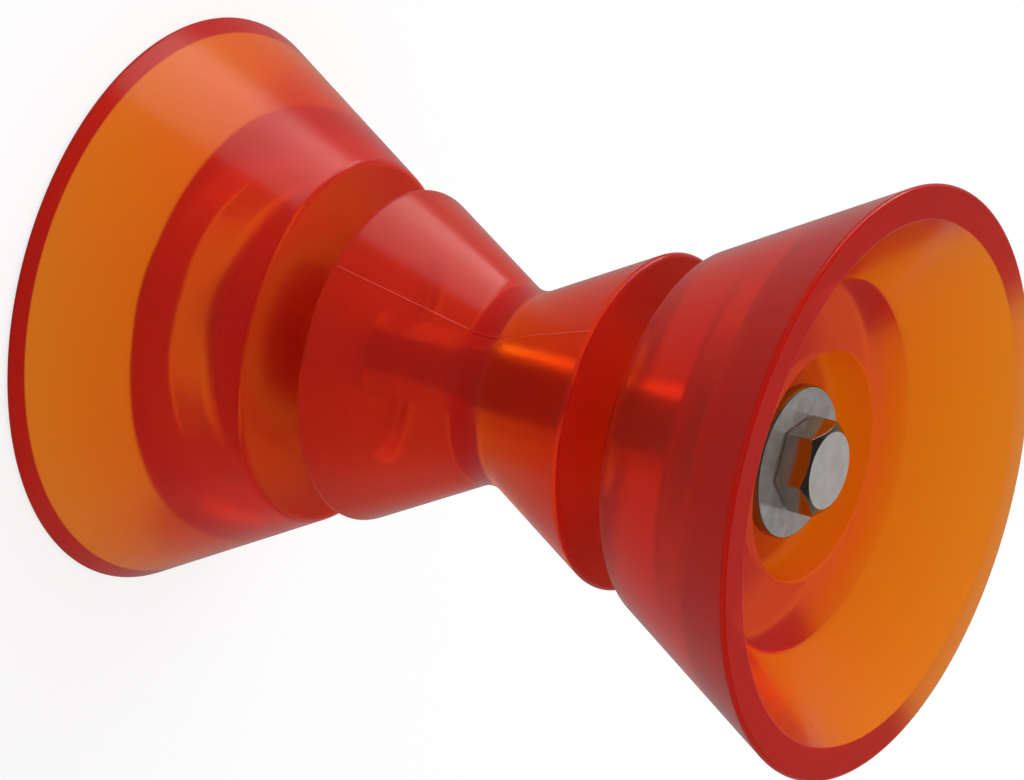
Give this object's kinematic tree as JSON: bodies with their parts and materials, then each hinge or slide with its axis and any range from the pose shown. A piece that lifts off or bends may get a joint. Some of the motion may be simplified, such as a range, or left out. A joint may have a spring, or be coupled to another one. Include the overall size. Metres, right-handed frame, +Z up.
{
  "type": "boat trailer bow roller with end bells",
  "caption": "Hourglass spool between two flared hollow bells in clear amber plastic, all turning on one long hex bolt with washers and a lock nut.",
  "frame": {"origin": "centre of the rim of the bell at the nut end, on which the roller stands", "axes": "+Z up along the bolt, from the nut end to the head end; X and Y are across it, X through a corner of the bolt head"},
  "size_m": [0.135, 0.135, 0.1906],
  "materials": {
    "amber_plastic": "clear red-amber moulded plastic, soft satin gloss",
    "plated_steel": "zinc plated, satin",
    "washer_steel": "plain stamped steel, dull",
    "insert_plastic": "plain moulded plastic"
  },
  "bodies": {
    "axle": {"hex_bolt": "plated_steel", "head_washer": "washer_steel", "nut_washer": "washer_steel", "lock_nut": "plated_steel", "nut_insert": "insert_plastic"},
    "spool": {"spool_roller": "amber_plastic"},
    "nut_bell": {"nut_end_bell": "amber_plastic"},
    "head_bell": {"head_end_bell": "amber_plastic"}
  },
  "joints": [
    {"name": "spool_spin", "type": "hinge", "parent": "axle", "child": "spool", "pos_m": [0, 0, 0.0953], "axis": [0, 0, 1], "continuous": true},
    {"name": "nut_bell_spin", "type": "hinge", "parent": "axle", "child": "nut_bell", "pos_m": [0, 0, 0.038], "axis": [0, 0, 1], "continuous": true},
    {"name": "head_bell_spin", "type": "hinge", "parent": "axle", "child": "head_bell", "pos_m": [0, 0, 0.1526], "axis": [0, 0, 1], "continuous": true}
  ]
}
